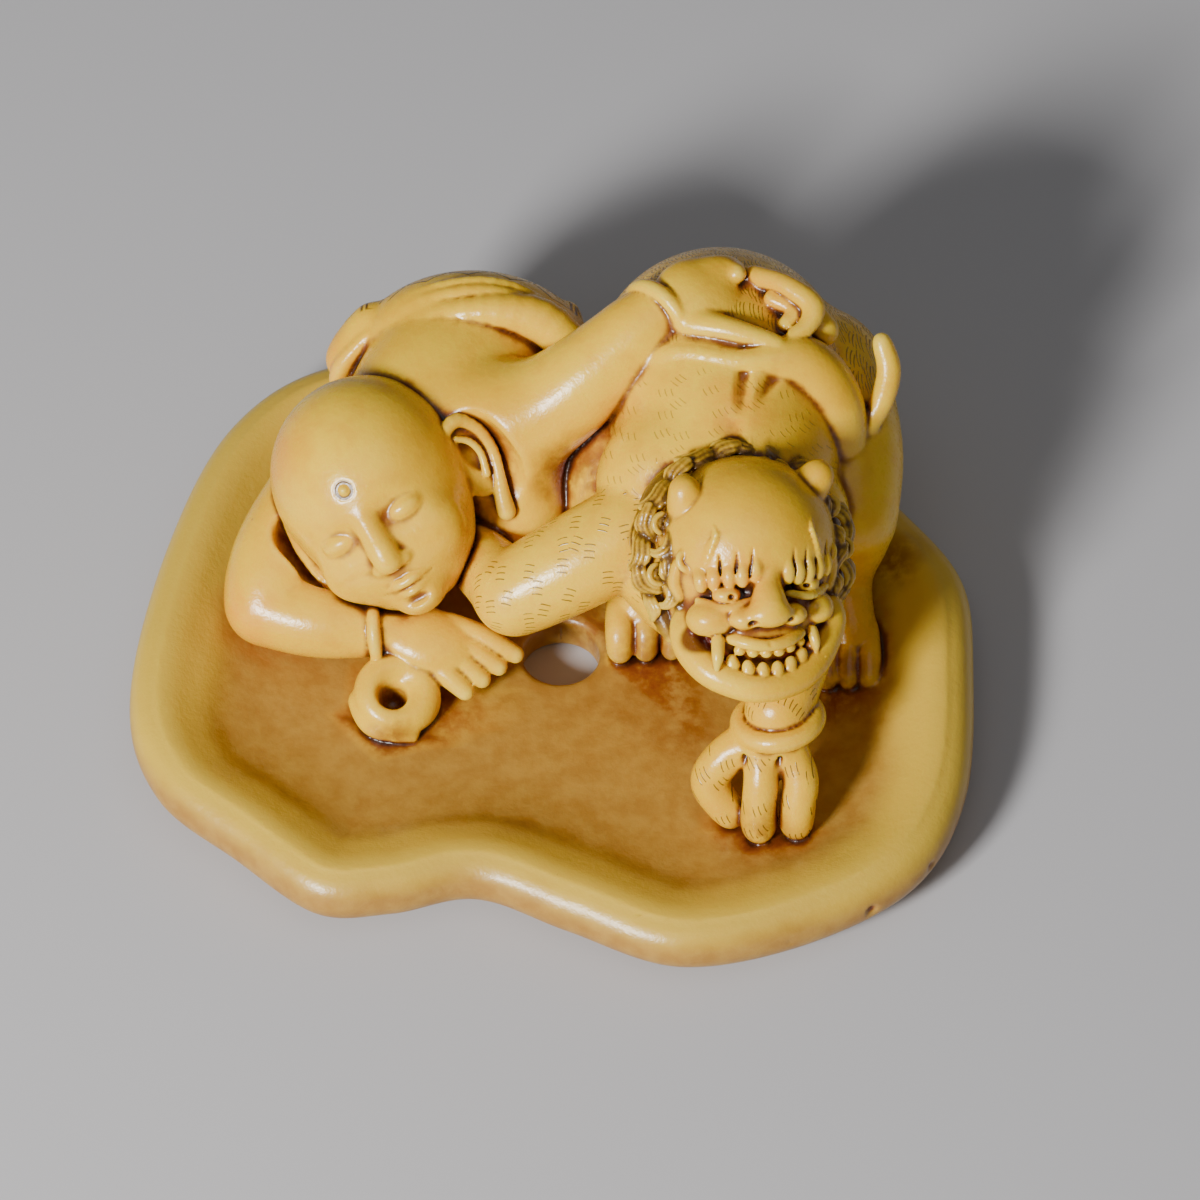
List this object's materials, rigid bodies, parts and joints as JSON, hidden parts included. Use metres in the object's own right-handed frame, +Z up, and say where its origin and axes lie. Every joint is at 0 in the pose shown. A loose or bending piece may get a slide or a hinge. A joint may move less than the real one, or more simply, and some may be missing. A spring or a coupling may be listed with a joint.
{
  "type": "netsuke",
  "caption": "Carved ivory-coloured toggle: a shaven-headed monk and a horned demon wrestling on a curled leaf, with a cord hole.",
  "frame": {"origin": "middle of the underside of the bounding box, where the leaf rests", "axes": "+X to the right of someone who faces the two heads, +Y from the heads to the figures' backs, +Z up"},
  "size_m": [0.0458, 0.04, 0.0201],
  "materials": {
    "ivory": "hand-polished ivory-like surface, yellowed, with brown stain in the carving's hollows"
  },
  "bodies": {
    "root": {"carving": "ivory"}
  },
  "joints": []
}
